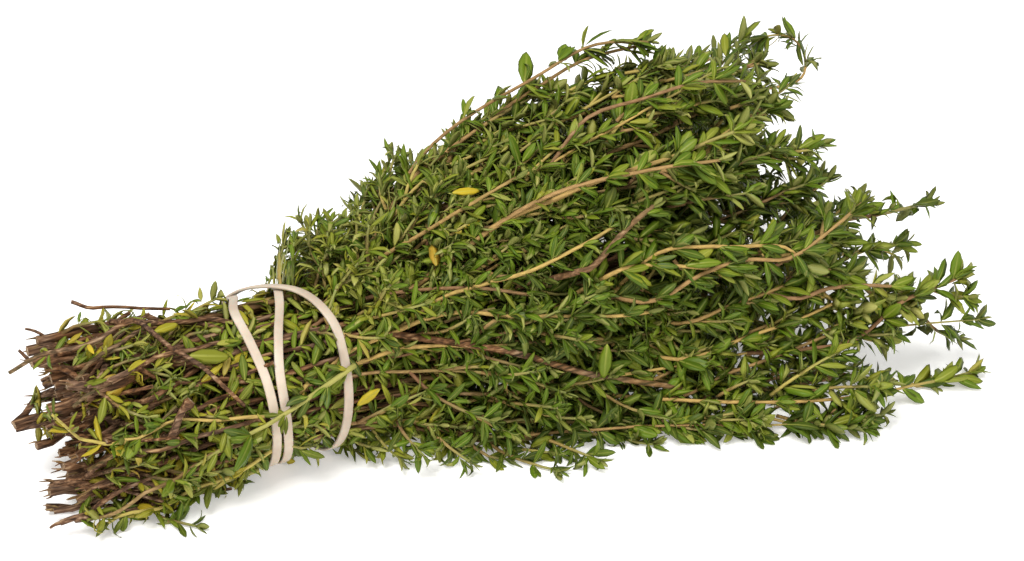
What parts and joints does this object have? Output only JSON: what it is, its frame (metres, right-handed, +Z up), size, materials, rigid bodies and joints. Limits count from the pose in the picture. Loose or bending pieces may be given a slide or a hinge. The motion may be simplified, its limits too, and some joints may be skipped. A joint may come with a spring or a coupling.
{
  "type": "thyme bundle",
  "caption": "Tied bunch of fresh thyme lying on its side: woody cut stems, a wound rubber band and a leafy fan of sprigs.",
  "frame": {"origin": "the middle of the bunch's footprint, on the surface it lies on", "axes": "+X along the bunch from the cut stems to the leafy tips, +Y to its left seen from the cut stems, +Z up from the surface"},
  "size_m": [0.286, 0.1434, 0.0933],
  "materials": {
    "sprig": "matte green leaves with paler undersides on thin stems that turn from grey-brown bark to tan and green",
    "bare_twig": "rough grey-brown bark with fibrous ridges",
    "loose_shoot": "matte yellow-green stem with narrow leaves",
    "rubber_band": "smooth cream latex with a soft sheen"
  },
  "bodies": {
    "root": {"rubber_band": "rubber_band", "sprig_01": "sprig", "sprig_02": "sprig", "sprig_03": "sprig", "sprig_04": "sprig", "sprig_05": "sprig", "sprig_06": "sprig", "sprig_07": "sprig", "sprig_08": "sprig", "sprig_09": "sprig", "sprig_10": "sprig", "sprig_11": "sprig", "sprig_12": "sprig", "sprig_13": "sprig", "sprig_14": "sprig", "sprig_15": "sprig", "sprig_16": "sprig", "sprig_17": "sprig", "sprig_18": "sprig", "sprig_19": "sprig", "sprig_20": "sprig", "sprig_21": "sprig", "sprig_22": "sprig", "sprig_23": "sprig", "sprig_24": "sprig", "sprig_25": "sprig", "sprig_26": "sprig", "sprig_27": "sprig", "sprig_28": "sprig", "sprig_29": "sprig", "sprig_30": "sprig", "sprig_31": "sprig", "sprig_32": "sprig", "sprig_33": "sprig", "sprig_34": "sprig", "sprig_35": "sprig", "sprig_36": "sprig", "sprig_37": "sprig", "sprig_38": "sprig", "sprig_39": "sprig", "sprig_40": "sprig", "sprig_41": "sprig", "sprig_42": "sprig", "sprig_43": "sprig", "sprig_44": "sprig", "sprig_45": "sprig", "sprig_46": "sprig", "sprig_47": "sprig", "sprig_48": "sprig", "sprig_49": "sprig", "sprig_50": "sprig", "crossed_twig_1": "bare_twig", "crossed_twig_2": "bare_twig", "crossed_twig_3": "bare_twig", "crossed_twig_4": "bare_twig", "loose_shoot_1": "loose_shoot", "loose_shoot_2": "loose_shoot"}
  },
  "joints": []
}
